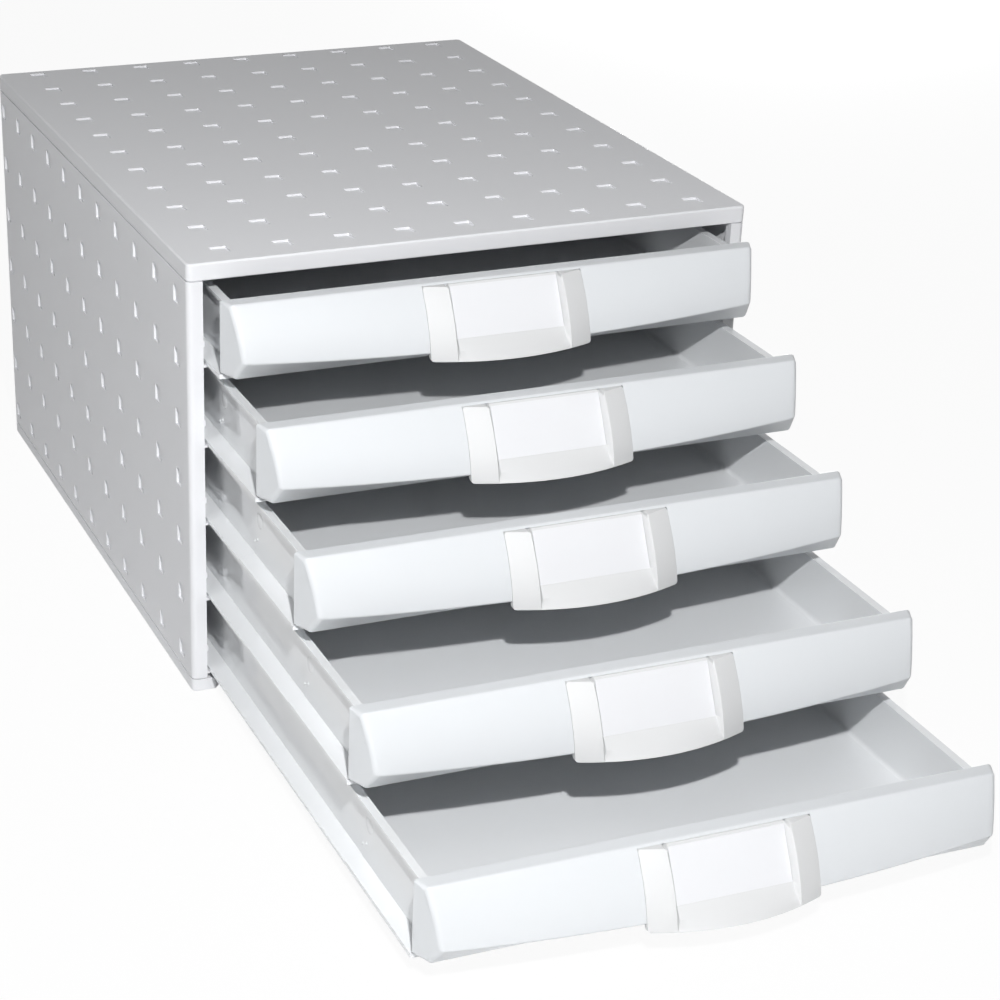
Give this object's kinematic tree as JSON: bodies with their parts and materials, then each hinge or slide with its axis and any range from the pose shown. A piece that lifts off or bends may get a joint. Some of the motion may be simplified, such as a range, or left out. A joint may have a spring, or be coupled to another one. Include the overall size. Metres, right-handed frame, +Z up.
{
  "type": "filing cabinet",
  "caption": "Desktop filing cabinet: moulded case with stacked pull-out drawers, each with a bowed front, crowned handle and label window.",
  "frame": {"origin": "centre of the case's footprint, on the surface the cabinet stands on", "axes": "+Z up, -Y towards the user, the way the drawers pull out, +X to the user's right"},
  "size_m": [0.275, 0.6179, 0.21],
  "materials": {
    "case_shell": "light grey moulded polystyrene, fine satin grain",
    "drawer_tray": "pale cool grey moulded polystyrene, satin",
    "drawer_front": "near-white moulded polystyrene, soft gloss",
    "drawer_handle": "very light grey moulded polystyrene, satin",
    "label_card": "blank white card"
  },
  "bodies": {
    "case": {"top_cover": "case_shell", "base_panel": "case_shell", "side_panel_left": "case_shell", "side_panel_right": "case_shell", "back_panel": "case_shell"},
    "drawer_1": {"drawer_1_tray": "drawer_tray", "drawer_1_front": "drawer_front", "drawer_1_handle": "drawer_handle", "drawer_1_label": "label_card"},
    "drawer_2": {"drawer_2_tray": "drawer_tray", "drawer_2_front": "drawer_front", "drawer_2_handle": "drawer_handle", "drawer_2_label": "label_card"},
    "drawer_3": {"drawer_3_tray": "drawer_tray", "drawer_3_front": "drawer_front", "drawer_3_handle": "drawer_handle", "drawer_3_label": "label_card"},
    "drawer_4": {"drawer_4_tray": "drawer_tray", "drawer_4_front": "drawer_front", "drawer_4_handle": "drawer_handle", "drawer_4_label": "label_card"},
    "drawer_5": {"drawer_5_tray": "drawer_tray", "drawer_5_front": "drawer_front", "drawer_5_handle": "drawer_handle", "drawer_5_label": "label_card"}
  },
  "joints": [
    {"name": "drawer_1_slide", "type": "slide", "parent": "case", "child": "drawer_1", "axis": [0, -1, 0], "range_m": [-0.0261, 0.2489]},
    {"name": "drawer_2_slide", "type": "slide", "parent": "case", "child": "drawer_2", "axis": [0, -1, 0], "range_m": [-0.0738, 0.2012]},
    {"name": "drawer_3_slide", "type": "slide", "parent": "case", "child": "drawer_3", "axis": [0, -1, 0], "range_m": [-0.1211, 0.1539]},
    {"name": "drawer_4_slide", "type": "slide", "parent": "case", "child": "drawer_4", "axis": [0, -1, 0], "range_m": [-0.1859, 0.0891]},
    {"name": "drawer_5_slide", "type": "slide", "parent": "case", "child": "drawer_5", "axis": [0, -1, 0], "range_m": [-0.2554, 0.0196]}
  ]
}
